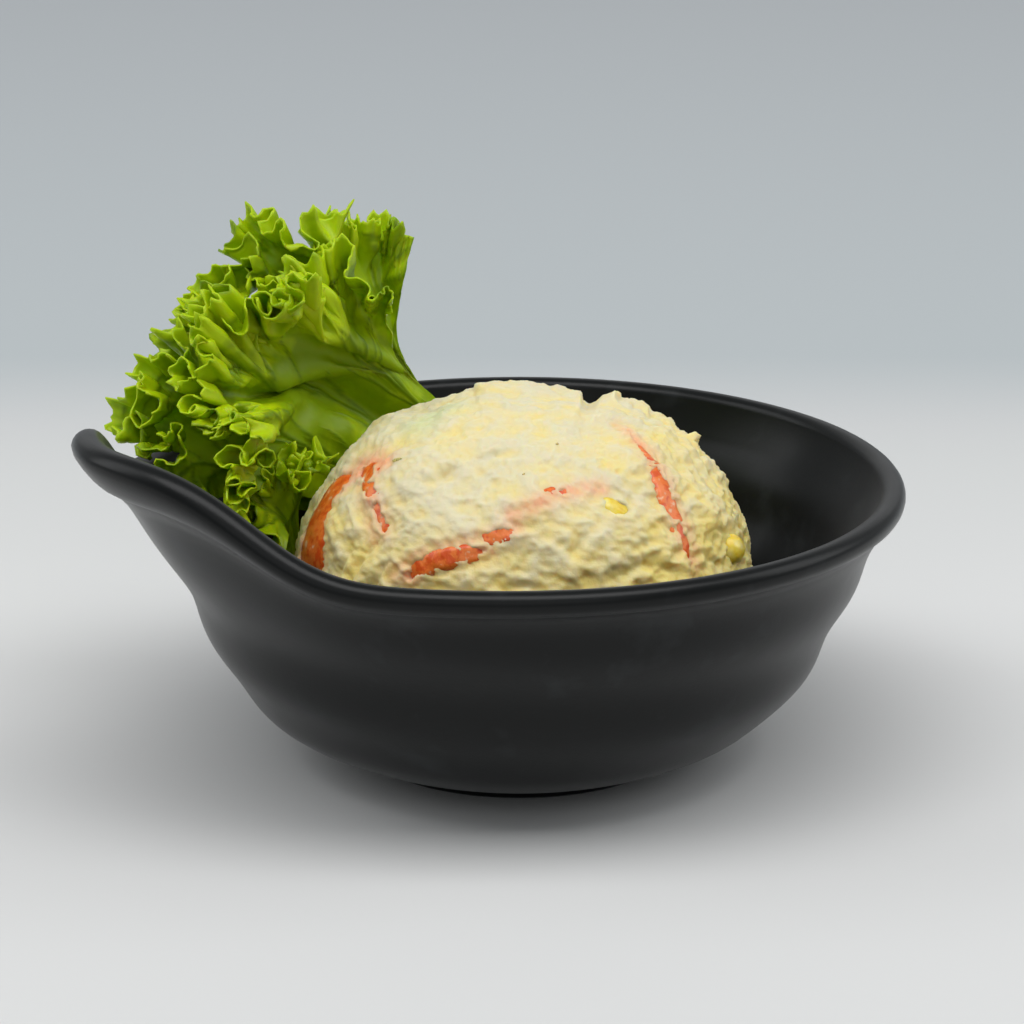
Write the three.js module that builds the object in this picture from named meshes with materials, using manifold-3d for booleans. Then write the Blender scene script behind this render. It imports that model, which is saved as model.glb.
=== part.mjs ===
// A small black handled bowl with one scoop of potato salad in it. Carrot slices and corn kernels
// show in the scoop's surface, and curly green lettuce stands behind it.
// Millimetres, +Z up. Z = 0 is the surface it stands on, and the bowl's handle points along -X.

import * as THREE from 'three';
import { mergeVertices } from 'three/addons/utils/BufferGeometryUtils.js';
import Module from 'manifold-3d';

const wasm = await Module();
wasm.setup();

const { degToRad, lerp, smoothstep } = THREE.MathUtils;
const TURN = 2 * Math.PI;

// ---------- driving dimensions ----------

// Bowl: rim, rolled lip, foot ring and wall
const RIM_RADIUS = 65;
const RIM_HEIGHT = 48;
const LIP_RADIUS = 2.1;
const LIP_FROM = -90;
const LIP_TO = 180;
const FOOT_RADIUS = 27.6;
const FOOT_WIDTH = 3;
const FOOT_HEIGHT = 2;
const FOOT_RECESS = 1.8;
const FOOT_EASE = 0.4;
const FLOOR_HEIGHT = 5.4;
const FLOOR_RISE = 0.3;
const WALL_TOP = 42;
const WALL_ACROSS = 1.9;
const WALL_UP = 3.4;
// The wall is a cone that tucks in towards the foot
const CONE_RADIUS = 42.8;
const CONE_SLOPE = 0.455;
const TUCK_DEPTH = 17.5;
const TUCK_HEIGHT = 5.93;
const TUCK_POWER = 1.25;
// One throwing ridge winds up the wall
const RIDGE_PITCH = 14.5;
const RIDGE_DEPTH = 0.35;
const RIDGE_START = 14.75;
const RIDGE_FADE = 4;
// Handle: the rim pulls out and rises on one side, each over its own share of the wall
const PULL = { reach: 14, halfAngle: 0.484, angleFade: 1.66, from: 0.62, ramp: 1.8 };
const RISE = { reach: 15.4, halfAngle: 0.439, angleFade: 3.33, from: 0.485, ramp: 2.4 };
const TIP_SWELL = 0.35;

// The food is laid out looking from the diner's side, turned from the handle by this angle
const SERVED_TURN = -31;

// Scoop of potato salad
const SCOOP_RADIUS = 39;
const SCOOP_WAIST = 29;
const SCOOP_TOP = 62.2;
const SCOOP_BOTTOM = 5.9;
const SCOOP_SHIFT = 0.8;
const DOME_POWER = 0.88;
const SKIRT_POWER = 0.66;
const LUMP_HEIGHT = 0.8;

// Space left between touching pieces
const GAP = 0.3;

// Lettuce
const LEAF_THICKNESS = 0.8;

// ---------- materials ----------

const MATERIALS = {
  melamine: { color: 0x202322, roughness: 0.55, metalness: 0 },
  potato: { color: 0xeadfb4, roughness: 0.6, metalness: 0 },
  carrot: { color: 0xdd5a1e, roughness: 0.4, metalness: 0 },
  corn: { color: 0xeccb3c, roughness: 0.35, metalness: 0 },
  lettuce: { color: 0x7fa012, roughness: 0.45, metalness: 0 },
};

function piece(name, geometry, finish) {
  geometry.computeVertexNormals();
  const mesh = new THREE.Mesh(geometry, new THREE.MeshStandardMaterial(MATERIALS[finish]));
  mesh.name = name;
  return mesh;
}

// ---------- solids ----------

function solidOf(geometry) {
  const bare = geometry.clone();
  bare.deleteAttribute('normal');
  bare.deleteAttribute('uv');
  const welded = mergeVertices(bare, 1e-4);
  return new wasm.Manifold(new wasm.Mesh({
    numProp: 3,
    vertProperties: new Float32Array(welded.attributes.position.array),
    triVerts: new Uint32Array(welded.index.array),
  }));
}

function geometryOf(solid) {
  const mesh = solid.getMesh();
  const geometry = new THREE.BufferGeometry();
  geometry.setAttribute('position', new THREE.BufferAttribute(new Float32Array(mesh.vertProperties), 3));
  geometry.setIndex(Array.from(mesh.triVerts));
  return geometry;
}

// A closed surface from rings of points, each ring of the same length, ended by a cap at each end
function loft(rings) {
  const count = rings[0].length;
  const points = rings.flat();
  const index = [];
  for (let ring = 0; ring + 1 < rings.length; ring += 1) {
    for (let i = 0; i < count; i += 1) {
      const a = ring * count + i;
      const b = ring * count + ((i + 1) % count);
      index.push(a, b, b + count, a, b + count, a + count);
    }
  }
  for (const [first, flip] of [[0, true], [(rings.length - 1) * count, false]]) {
    const middle = new THREE.Vector3();
    for (let i = 0; i < count; i += 1) {
      middle.addScaledVector(points[first + i], 1 / count);
    }
    const hub = points.push(middle) - 1;
    for (let i = 0; i < count; i += 1) {
      const a = first + i;
      const b = first + ((i + 1) % count);
      index.push(...(flip ? [hub, b, a] : [hub, a, b]));
    }
  }
  const geometry = new THREE.BufferGeometry().setFromPoints(points);
  geometry.setIndex(index);
  return geometry;
}

// ---------- bowl ----------

const LIP_CENTRE = new THREE.Vector2(RIM_RADIUS - LIP_RADIUS, RIM_HEIGHT - LIP_RADIUS);

function coneAt(height) {
  const tuck = TUCK_DEPTH * Math.exp(-((Math.max(height, 0) / TUCK_HEIGHT) ** TUCK_POWER));
  return CONE_RADIUS + CONE_SLOPE * height - tuck;
}

function innerAt(height) {
  return coneAt(height - WALL_UP) - WALL_ACROSS;
}

// Heights from low to high, closer together at the low end
function levels(low, high, count) {
  const heights = [];
  for (let i = 0; i < count; i += 1) {
    heights.push(lerp(low, high, (i / (count - 1)) ** 1.2));
  }
  return heights;
}

// The closed section of the wall: under the foot, up the outside, over the lip and down the inside
function bowlProfile() {
  const footInside = FOOT_RADIUS - FOOT_WIDTH;
  const profile = [
    [0, FOOT_RECESS],
    [footInside - FOOT_EASE, FOOT_RECESS],
    [footInside, 0],
    [FOOT_RADIUS - FOOT_EASE, 0],
    [FOOT_RADIUS, FOOT_EASE],
    [FOOT_RADIUS, FOOT_HEIGHT - FOOT_EASE / 2],
  ];
  for (const height of levels(FOOT_HEIGHT + FOOT_EASE / 2, WALL_TOP, 11)) {
    profile.push([coneAt(height), height]);
  }
  const lipSteps = 6;
  for (let i = 0; i <= lipSteps; i += 1) {
    const angle = degToRad(lerp(LIP_FROM, LIP_TO, i / lipSteps));
    profile.push([LIP_CENTRE.x + LIP_RADIUS * Math.cos(angle), LIP_CENTRE.y + LIP_RADIUS * Math.sin(angle)]);
  }
  for (const height of levels(FLOOR_HEIGHT + FLOOR_RISE, WALL_TOP, 11).reverse()) {
    profile.push([innerAt(height), height]);
  }
  profile.push([0, FLOOR_HEIGHT]);
  return profile.map(([radius, height]) => new THREE.Vector2(radius, height));
}

// Height of the ridge at a place on the wall, fading out at the foot and under the lip
function ridgeAt(angle, height) {
  const turns = (height - RIDGE_START) / RIDGE_PITCH + angle / TURN;
  const fadeLow = smoothstep(height, RIDGE_FADE, 2.5 * RIDGE_FADE);
  const fadeHigh = 1 - smoothstep(height, RIM_HEIGHT - 2 * RIDGE_FADE, RIM_HEIGHT - RIDGE_FADE);
  return RIDGE_DEPTH * fadeLow * fadeHigh * Math.cos(TURN * turns);
}

// How strongly the handle pulls at a place: angle from its middle line, and share of the height
function handleShare(shape, angle, share) {
  const across = Math.exp(-(Math.abs(angle / shape.halfAngle) ** shape.angleFade));
  const up = Math.max(0, (share - shape.from) / (1 - shape.from)) ** shape.ramp;
  return across * up;
}

// Where a point of the round bowl lies once the ridge and the handle are formed
function formed(angle, radius, height) {
  const share = Math.min(1, height / LIP_CENTRE.y);
  const fromHandle = Math.atan2(Math.sin(angle - Math.PI), Math.cos(angle - Math.PI));
  const pull = handleShare(PULL, fromHandle, share);
  const rise = handleShare(RISE, fromHandle, share);
  const inLip = new THREE.Vector2(radius, height).sub(LIP_CENTRE);
  const swell = inLip.length() < LIP_RADIUS + 0.01 ? TIP_SWELL * pull : 0;
  const ridge = radius > FOOT_RADIUS ? ridgeAt(angle, height) : 0;
  const reach = radius + ridge + swell * inLip.x + PULL.reach * pull;
  return new THREE.Vector3(
    reach * Math.cos(angle),
    reach * Math.sin(angle),
    height + swell * inLip.y + RISE.reach * rise,
  );
}

function bowl() {
  const segments = 64;
  const crowding = 0.42;
  const geometry = new THREE.LatheGeometry(bowlProfile(), segments);
  const position = geometry.attributes.position;
  for (let i = 0; i < position.count; i += 1) {
    const radius = Math.hypot(position.getX(i), position.getZ(i));
    const even = Math.atan2(position.getX(i), position.getZ(i));
    const angle = Math.PI + even - crowding * Math.sin(even);
    const point = formed(angle, radius, position.getY(i));
    position.setXYZ(i, point.x, point.y, point.z);
  }
  return geometryOf(solidOf(geometry));
}

// ---------- scoop of potato salad ----------

// A wavy height made of a few crossing swells, between -1 and 1
function lumps(point) {
  const a = Math.sin(0.31 * point.x + 1.3) * Math.sin(0.27 * point.z - 0.4);
  const b = Math.sin(0.22 * point.y - 0.21 * point.x + 2.1) * Math.sin(0.36 * point.z + 0.9);
  const c = Math.sin(0.41 * point.y + 0.17 * point.z);
  return (a + b + c) / 3;
}

// Torn edges that stand up from the scoop: azimuth and climb in degrees, height, size in mm
const TORN_EDGES = [
  { azimuth: 30, climb: 58, height: 1.6, size: 3.6 },
  { azimuth: 24, climb: 53, height: 1.4, size: 3.6 },
  { azimuth: 19, climb: 47, height: 1.4, size: 3.6 },
  { azimuth: 14, climb: 39, height: 2.4, size: 3.2 },
];

function smoothScoop(azimuth, climb) {
  const around = degToRad(azimuth);
  const up = degToRad(climb);
  const lower = climb < 0;
  const reach = Math.cos(up) ** (lower ? SKIRT_POWER : 1);
  const rise = Math.abs(Math.sin(up)) ** (lower ? SKIRT_POWER : DOME_POWER);
  const height = lower ? (SCOOP_BOTTOM - SCOOP_WAIST) * rise : (SCOOP_TOP - SCOOP_WAIST) * rise;
  return new THREE.Vector3(
    SCOOP_SHIFT + SCOOP_RADIUS * reach * Math.cos(around),
    SCOOP_RADIUS * reach * Math.sin(around),
    SCOOP_WAIST + height,
  );
}

const TORN_PLACES = TORN_EDGES.map((edge) => ({ ...edge, place: smoothScoop(edge.azimuth, edge.climb) }));

function scoopPoint(azimuth, climb) {
  const point = smoothScoop(azimuth, climb);
  const outward = point.clone().sub(new THREE.Vector3(SCOOP_SHIFT, 0, SCOOP_WAIST)).normalize();
  const upper = smoothstep(climb, -20, 10);
  let height = LUMP_HEIGHT * upper * lumps(point);
  for (const edge of TORN_PLACES) {
    height += edge.height * Math.exp(-((point.distanceTo(edge.place) / edge.size) ** 2));
  }
  return point.addScaledVector(outward, height);
}

function scoopBody() {
  const around = 40;
  const up = 15;
  const steepest = 83;
  const rings = [];
  for (let row = 0; row <= up; row += 1) {
    const climb = lerp(-steepest, steepest, row / up);
    const ring = [];
    for (let i = 0; i < around; i += 1) {
      ring.push(scoopPoint((360 * i) / around, climb));
    }
    rings.push(ring);
  }
  return loft(rings);
}

// ---------- carrot and corn in the scoop's surface ----------

// Place and outward direction on the scoop
function scoopSpot(azimuth, climb) {
  const step = 1.5;
  const place = scoopPoint(azimuth, climb);
  const along = smoothScoop(azimuth + step, climb).sub(smoothScoop(azimuth - step, climb));
  const up = smoothScoop(azimuth, climb + step).sub(smoothScoop(azimuth, climb - step));
  return { place, outward: along.cross(up).normalize() };
}

// Each slice's path is a list of [azimuth, climb] in degrees, seen from the diner's side
const CARROTS = {
  carrot_slice_left: {
    path: [[-160, 8], [-163, 17], [-165, 26], [-164, 34]],
    width: 3.8,
    depth: 5,
  },
  carrot_strip_left: {
    path: [[-160, 40], [-153, 42], [-145, 38], [-136, 32], [-133, 28]],
    width: 1.7,
    depth: 3,
  },
  carrot_slice_front: {
    path: [[-121, 16], [-116, 21], [-109, 24], [-99, 27]],
    width: 2.2,
    depth: 5,
  },
  carrot_bit_front: {
    path: [[-101, 30], [-98, 31], [-94.5, 32]],
    width: 1.7,
    depth: 3,
  },
  carrot_bit_middle: {
    path: [[-87, 40], [-80, 43], [-73, 45]],
    width: 1.4,
    depth: 3,
  },
  carrot_slice_right: {
    path: [[-32, 59], [-35, 49], [-39, 38], [-41, 27], [-40, 17]],
    width: 1.9,
    depth: 4,
  },
};

// A slice lying edge-on in the surface: a wedge-shaped section swept along its path
function sliceBody({ path, width, depth }, clearance = 0) {
  const stations = 2 * path.length;
  const proud = 0.35;
  const inner = 0.7;
  const corners = [[1, 1], [-1, 1], [-inner, -1], [inner, -1]];
  const turns = path.map(([azimuth, climb]) => new THREE.Vector3(azimuth, climb, 0));
  const curve = new THREE.CatmullRomCurve3(turns);
  const spots = [];
  for (let i = 0; i <= stations; i += 1) {
    const { x, y } = curve.getPoint(i / stations);
    spots.push(scoopSpot(x, y));
  }
  const ends = [spots[0].place, spots[stations].place];
  const reach = clearance / ends[0].distanceTo(ends[1]);
  const rings = spots.map(({ place, outward }, i) => {
    const before = spots[Math.max(0, i - 1)].place;
    const after = spots[Math.min(stations, i + 1)].place;
    const across = outward.clone().cross(after.clone().sub(before)).normalize();
    const taper = 0.45 + 0.55 * Math.sin((Math.PI * i) / stations) ** 0.5;
    const halfWidth = (width / 2) * taper + clearance;
    const halfDepth = (depth / 2) * taper + clearance;
    const centre = place.clone().addScaledVector(outward, proud - (depth / 2) * taper);
    centre.addScaledVector(ends[1].clone().sub(ends[0]), reach * ((2 * i) / stations - 1));
    return corners.map(([sideways, up]) => {
      const corner = centre.clone().addScaledVector(across, sideways * halfWidth);
      return corner.addScaledVector(outward, up * halfDepth);
    });
  });
  return loft(rings);
}

const KERNELS = {
  corn_kernel_front: {
    azimuth: -61, climb: 37, spin: 20, proud: 0.5, length: 6.5, width: 4.6, thickness: 3.8,
  },
  corn_kernel_right: {
    azimuth: -21, climb: 15, spin: 80, proud: 1.3, length: 6.5, width: 5, thickness: 4,
  },
};

// A kernel: round at its crown and narrower at the end that grew on the cob
function kernelBody(kernel, clearance = 0) {
  const geometry = new THREE.SphereGeometry(0.5, 10, 8);
  const position = geometry.attributes.position;
  const { place, outward } = scoopSpot(kernel.azimuth, kernel.climb);
  const turn = new THREE.Matrix4().lookAt(outward, new THREE.Vector3(), new THREE.Vector3(0, 0, 1));
  turn.multiply(new THREE.Matrix4().makeRotationZ(degToRad(kernel.spin)));
  for (let i = 0; i < position.count; i += 1) {
    const point = new THREE.Vector3().fromBufferAttribute(position, i);
    const narrowing = 1 + 0.45 * point.y;
    point.set(
      point.x * (kernel.width * narrowing + 2 * clearance),
      point.y * (kernel.length + 2 * clearance),
      point.z * (kernel.thickness * narrowing + 2 * clearance),
    );
    point.z += kernel.proud - kernel.thickness / 2;
    point.applyMatrix4(turn).add(place);
    position.setXYZ(i, point.x, point.y, point.z);
  }
  return geometry;
}

function saladPieces() {
  let scoop = solidOf(scoopBody());
  const pieces = [];
  for (const [name, slice] of Object.entries(CARROTS)) {
    scoop = scoop.subtract(solidOf(sliceBody(slice, GAP)));
    pieces.push(piece(name, sliceBody(slice), 'carrot'));
  }
  for (const [name, kernel] of Object.entries(KERNELS)) {
    scoop = scoop.subtract(solidOf(kernelBody(kernel, GAP)));
    pieces.push(piece(name, geometryOf(solidOf(kernelBody(kernel))), 'corn'));
  }
  return [piece('potato_salad', geometryOf(scoop), 'potato'), ...pieces];
}

// ---------- lettuce ----------

// A leaf fans out from its base line, through its middle line, to its frilled margin. Each line is
// a list of [azimuth, radius, height] about the bowl's axis, seen from the diner's side.
const LEAVES = {
  lettuce_leaf_front: {
    base: [[80, 42, 25], [82, 42, 21], [84, 42, 17]],
    middle: [[113, 42, 52], [124, 42, 53], [136, 42.5, 52], [146, 43.5, 49], [153, 44, 45]],
    margin: [
      [144, 38, 73], [158, 38, 78], [169, 41, 78], [176, 45, 75], [182, 48, 70],
      [187, 51, 64], [190, 52, 58], [194, 51, 54], [198, 49, 50], [200, 47, 46],
    ],
    waves: 6,
    frill: 2.6,
    columns: 36,
    rows: 6,
  },
  lettuce_leaf_back: {
    base: [[86, 45, 26], [88, 44.5, 22], [90, 43.8, 18.5]],
    middle: [[111, 47, 54], [122, 48, 62], [137, 49.5, 58], [150, 50.5, 48], [158, 50, 37]],
    margin: [
      [117, 45, 78], [124, 48, 84], [132, 50, 87], [141, 53, 88], [148, 56, 84], [154, 59, 76],
      [160, 62, 70], [165, 65, 64], [170, 66, 58.5], [175, 63, 53], [181, 56, 46],
    ],
    waves: 8,
    frill: 2.9,
    columns: 42,
    rows: 6,
  },
  lettuce_curl: {
    base: [[163, 42, 25], [165, 42, 21]],
    middle: [[164, 41.5, 37], [170, 41.5, 33]],
    margin: [[163, 39.2, 48], [168, 39.4, 48], [174, 40.4, 45], [180, 42, 40], [184, 42.5, 34]],
    waves: 3,
    frill: 1.2,
    columns: 12,
    rows: 4,
  },
};

function curveOf(line) {
  return new THREE.CatmullRomCurve3(line.map((place) => new THREE.Vector3(...place)));
}

// The leaf's middle surface: along runs from 0 to 1 around the fan, out from base to margin
function leafPoint(leaf, curves, along, out) {
  const base = curves.base.getPoint(along);
  const middle = curves.middle.getPoint(along);
  const margin = curves.margin.getPoint(along);
  const place = base.multiplyScalar((1 - out) * (1 - 2 * out));
  place.addScaledVector(middle, 4 * out * (1 - out));
  place.addScaledVector(margin, out * (2 * out - 1));
  const frill = leaf.frill * out ** 4 * Math.sin(TURN * leaf.waves * along);
  const droop = 0.5 * leaf.frill * out ** 6 * Math.sin(TURN * (2 * leaf.waves * along + 0.2));
  const azimuth = degToRad(place.x);
  const radius = place.y + frill;
  return new THREE.Vector3(radius * Math.cos(azimuth), radius * Math.sin(azimuth), place.z + droop);
}

// Both faces of the leaf and the edge that joins them
function leafBody(leaf) {
  const curves = { base: curveOf(leaf.base), middle: curveOf(leaf.middle), margin: curveOf(leaf.margin) };
  const step = 0.01;
  const faces = [[], []];
  for (let column = 0; column <= leaf.columns; column += 1) {
    for (let row = 0; row <= leaf.rows; row += 1) {
      const along = column / leaf.columns;
      const out = row / leaf.rows;
      const place = leafPoint(leaf, curves, along, out);
      const sideways = leafPoint(leaf, curves, Math.min(1, along + step), out);
      sideways.sub(leafPoint(leaf, curves, Math.max(0, along - step), out));
      const outwards = leafPoint(leaf, curves, along, Math.min(1, out + step));
      outwards.sub(leafPoint(leaf, curves, along, Math.max(0, out - step)));
      const normal = sideways.cross(outwards).normalize();
      faces[0].push(place.clone().addScaledVector(normal, LEAF_THICKNESS / 2));
      faces[1].push(place.clone().addScaledVector(normal, -LEAF_THICKNESS / 2));
    }
  }
  const stride = leaf.rows + 1;
  const under = faces[0].length;
  const index = [];
  for (let column = 0; column < leaf.columns; column += 1) {
    for (let row = 0; row < leaf.rows; row += 1) {
      const a = column * stride + row;
      const b = a + stride;
      index.push(a, b, b + 1, a, b + 1, a + 1);
      index.push(under + a, under + b + 1, under + b, under + a, under + a + 1, under + b + 1);
    }
  }
  const edge = [];
  for (let column = 0; column < leaf.columns; column += 1) {
    edge.push([column * stride, (column + 1) * stride]);
    edge.push([(column + 1) * stride + leaf.rows, column * stride + leaf.rows]);
  }
  for (let row = 0; row < leaf.rows; row += 1) {
    edge.push([row + 1, row]);
    edge.push([leaf.columns * stride + row, leaf.columns * stride + row + 1]);
  }
  for (const [a, b] of edge) {
    index.push(b, a, under + a, b, under + a, under + b);
  }
  const geometry = new THREE.BufferGeometry().setFromPoints(faces.flat());
  geometry.setIndex(index);
  return geometry;
}

function lettucePieces() {
  return Object.entries(LEAVES).map(([name, leaf]) => piece(name, leafBody(leaf), 'lettuce'));
}

// ---------- the whole dish ----------

function dish() {
  const served = new THREE.Group();
  served.rotation.z = degToRad(SERVED_TURN);
  served.add(...saladPieces(), ...lettucePieces());
  const whole = new THREE.Group();
  whole.add(piece('bowl', bowl(), 'melamine'), served);
  const tipReach = RIM_RADIUS + PULL.reach + TIP_SWELL * LIP_RADIUS;
  whole.position.x = (tipReach - RIM_RADIUS) / 2;
  const root = new THREE.Group();
  root.add(whole);
  return root;
}

export default dish();
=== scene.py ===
"""A small black handled bowl with a scoop of potato salad and curly lettuce in it.

Sizes are in millimetres until a piece is finished, and metres from then on. The bowl is formed
round its own axis. The food is laid out as the diner sees it, with -Y towards the diner.
"""

import math

import bmesh
import bpy
import numpy as np
from mathutils import Matrix, Vector, kdtree, noise


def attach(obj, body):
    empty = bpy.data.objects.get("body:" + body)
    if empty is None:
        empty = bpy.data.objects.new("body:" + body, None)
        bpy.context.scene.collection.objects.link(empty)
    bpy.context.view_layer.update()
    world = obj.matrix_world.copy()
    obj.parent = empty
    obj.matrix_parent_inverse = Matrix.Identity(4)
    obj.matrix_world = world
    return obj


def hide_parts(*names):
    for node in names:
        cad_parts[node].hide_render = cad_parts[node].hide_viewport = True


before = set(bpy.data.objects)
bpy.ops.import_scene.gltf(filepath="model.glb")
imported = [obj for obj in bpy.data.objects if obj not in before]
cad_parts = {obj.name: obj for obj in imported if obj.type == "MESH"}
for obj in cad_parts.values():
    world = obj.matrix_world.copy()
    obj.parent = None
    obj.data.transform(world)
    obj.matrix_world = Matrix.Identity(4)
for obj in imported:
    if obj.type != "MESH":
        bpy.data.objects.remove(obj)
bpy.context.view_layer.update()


# ---- The tabletop and the light ---------------------------------------------------------------
# A smooth board, pale grey, with painted shade that turns it a cooler and darker grey further back,
# where less light reaches it. It stands in a light tent: a long diffuser overhead, one at each side
# and weaker ones before and behind, so every shadow is soft.

def linear(code):
    """The linear colour of an sRGB hex value."""
    parts = [((code >> shift) & 255) / 255 for shift in (16, 8, 0)]
    return [p / 12.92 if p <= 0.04045 else ((p + 0.055) / 1.055) ** 2.4 for p in parts] + [1.0]


def add(tree, kind, settings=(), links=()):
    """Adds a shader node. Settings are sockets or properties, and links are sockets to feed."""
    node = tree.nodes.new("ShaderNode" + kind)
    for name, value in dict(settings).items():
        if isinstance(name, int) or name in node.inputs:
            node.inputs[name].default_value = value
        else:
            setattr(node, name, value)
    for name, source in dict(links).items():
        tree.links.new(source, node.inputs[name])
    return node


def new_material(name):
    """An empty material with one Principled shader, which gets its sockets from the caller."""
    material = bpy.data.materials.new(name)
    material.use_nodes = True
    return material, material.node_tree, material.node_tree.nodes["Principled BSDF"]


def ramp(tree, source, stops):
    """Colours along a value, as (place, colour) stops."""
    node = add(tree, "ValToRGB", links={0: source})
    elements = node.color_ramp.elements
    while len(elements) < len(stops):
        elements.new(1.0)
    for element, (place, code) in zip(elements, stops):
        element.position = place
        element.color = linear(code)
    return node.outputs["Color"]


MM = 0.001
# The diner's axes are turned by this from the bowl's own
SERVED_TURN = math.radians(-31)

BOARD_SIZE = 6000
# The board's grey and its painted shade at each distance behind the bowl's axis, as the diner sees
# it
BOARD_TONES_AND_SHADE = [
    (-200, 0xD4D4D3), (76, 0xD8D8D7), (180, 0xD0D1D0), (206, 0xCCCDCD), (262, 0xB9BFC1),
    (900, 0xC7CBCE),
]
BOARD_REACH = 2000

bm = bmesh.new()
bmesh.ops.create_grid(bm, x_segments=1, y_segments=1, size=BOARD_SIZE * MM / 2)
mesh = bpy.data.meshes.new("tabletop")
bm.to_mesh(mesh)
bm.free()
tabletop = bpy.data.objects.new("tabletop", mesh)
bpy.context.collection.objects.link(tabletop)

# Matt paint: it takes the dish's soft shadow, and mirrors nothing of it.
material, tree, shader = new_material("matt_board_with_painted_shade")
coords = add(tree, "TexCoord").outputs["Object"]
turned = add(tree, "Mapping", {"Rotation": (0, 0, -SERVED_TURN)}, {"Vector": coords})
depth = add(tree, "SeparateXYZ", links={0: turned.outputs[0]}).outputs["Y"]
place = add(tree, "MapRange", {"From Min": -BOARD_REACH * MM, "From Max": BOARD_REACH * MM},
            {"Value": depth})
# Painted shade: the board turns a darker, cooler grey further back, where less light reaches it.
stops = [((away / BOARD_REACH + 1) / 2, code) for away, code in BOARD_TONES_AND_SHADE]
tree.links.new(ramp(tree, place.outputs[0], stops), shader.inputs["Base Color"])
shader.inputs["Roughness"].default_value = 0.8
shader.inputs["Specular IOR Level"].default_value = 0.2
mesh.materials.append(material)

# Each diffuser's place and size in metres, as the diner sees it, its watts and its tint
DIFFUSERS = {
    "diffuser_overhead": ((0.0, -0.35, 1.2), (1.6, 0.6), 12, 0xFFFFFF),
    "diffuser_left": ((-1.1, 0.1, 0.75), (0.7, 0.9), 4, 0xFCFEFF),
    "diffuser_right": ((1.1, 0.1, 0.75), (0.7, 0.9), 4, 0xFCFEFF),
    "diffuser_front": ((0.1, -1.3, 0.75), (1.4, 0.8), 1.8, 0xFFFFFF),
    "diffuser_back": ((0.0, 1.5, 0.75), (2.2, 0.7), 2, 0xFFFFFF),
}
for name, (place, size, watts, tint) in DIFFUSERS.items():
    light = bpy.data.lights.new(name, "AREA")
    light.shape = "RECTANGLE"
    light.size, light.size_y = size
    light.energy = watts
    light.color = linear(tint)[:3]
    lamp = bpy.data.objects.new(name, light)
    lamp.location = Matrix.Rotation(SERVED_TURN, 3, "Z") @ Vector(place)
    lamp.rotation_euler = (-lamp.location).to_track_quat("-Z", "Y").to_euler()
    bpy.context.collection.objects.link(lamp)

TENT_TINT = 0xE9EEF2
TENT_STRENGTH = 0.3
room = bpy.data.worlds.new("light_tent")
room.use_nodes = True
glow = room.node_tree.nodes["Background"]
glow.inputs["Color"].default_value = linear(TENT_TINT)
glow.inputs["Strength"].default_value = TENT_STRENGTH
bpy.context.scene.world = room
bpy.context.scene.view_settings.view_transform = "Standard"


# ---- The camera -------------------------------------------------------------------------------
# It stands where the diner sits and looks down by 17 degrees, through a long lens. The dish's
# origin is halfway along it with its handle, so the bowl's own axis lies half the handle aside.

HANDLE_TIP = 14.735
BOWL_SHIFT = HANDLE_TIP / 2
CAMERA_BACK = 600
CAMERA_HEIGHT = 225.7
CAMERA_ASIDE = -1.24
CAMERA_TILT = math.radians(17.09)
SENSOR = 36
FOCAL_PIXELS = 3706.2
IMAGE_WIDTH = 1024

lens = bpy.data.cameras.new("camera")
lens.sensor_width = SENSOR
lens.lens = SENSOR * FOCAL_PIXELS / IMAGE_WIDTH
lens.clip_start = 0.01
camera = bpy.data.objects.new("camera", lens)
stand = Matrix.Rotation(SERVED_TURN, 3, "Z") @ Vector((CAMERA_ASIDE, -CAMERA_BACK, CAMERA_HEIGHT))
camera.location = (stand + Vector((BOWL_SHIFT, 0, 0))) * MM
camera.rotation_euler = (math.pi / 2 - CAMERA_TILT, 0, SERVED_TURN)
bpy.context.collection.objects.link(camera)
bpy.context.scene.camera = camera


# ---- The bowl ---------------------------------------------------------------------------------
# Black melamine, pressed in a matt mould in one piece: a conical wall on a ring foot, a rolled
# lip, one throwing ridge that winds up the wall, and a handle drawn out of the rim at one side.

TURN = 2 * math.pi
RIM_RADIUS = 65
RIM_HEIGHT = 48
LIP_RADIUS = 2.1
LIP_TOLERANCE = 0.01
LIP_ACROSS = RIM_RADIUS - LIP_RADIUS
LIP_UP = RIM_HEIGHT - LIP_RADIUS
FOOT_RADIUS = 27.6
FOOT_WIDTH = 3
FOOT_HEIGHT = 2
FOOT_RECESS = 1.8
FOOT_EASE = 0.4
FLOOR_HEIGHT = 5.4
FLOOR_RISE = 0.3
WALL_TOP = 42
WALL_ACROSS = 1.9
WALL_UP = 3.4
CONE_RADIUS = 42.8
CONE_SLOPE = 0.455
TUCK_DEPTH = 17.5
TUCK_HEIGHT = 5.93
TUCK_POWER = 1.25
RIDGE_PITCH = 14.5
RIDGE_DEPTH = 0.42
RIDGE_START = 14.75
RIDGE_FADE = 4
# The handle: how far the rim is drawn out and up, and over which angle and share of the height
PULL = {"reach": 14, "half_angle": 0.484, "angle_fade": 1.66, "start": 0.62, "ramp": 1.8}
RISE = {"reach": 15.4, "half_angle": 0.439, "angle_fade": 3.33, "start": 0.485, "ramp": 2.4}
TIP_SWELL = 0.35
WALL_STEPS = 44
WALL_CROWDING = 1.3
LIP_STEPS = 16
SPIN_STEPS = 256


def smooth(value, low, high):
    """0 below low, 1 above high and an even S in between."""
    share = np.clip((value - low) / (high - low), 0, 1)
    return share * share * (3 - 2 * share)


def cone_at(height):
    """The radius of the wall's outside at that height."""
    tuck = TUCK_DEPTH * math.exp(-((max(height, 0) / TUCK_HEIGHT) ** TUCK_POWER))
    return CONE_RADIUS + CONE_SLOPE * height - tuck


def inner_at(height):
    """The radius of the wall's inside at that height."""
    return cone_at(height - WALL_UP) - WALL_ACROSS


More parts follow.
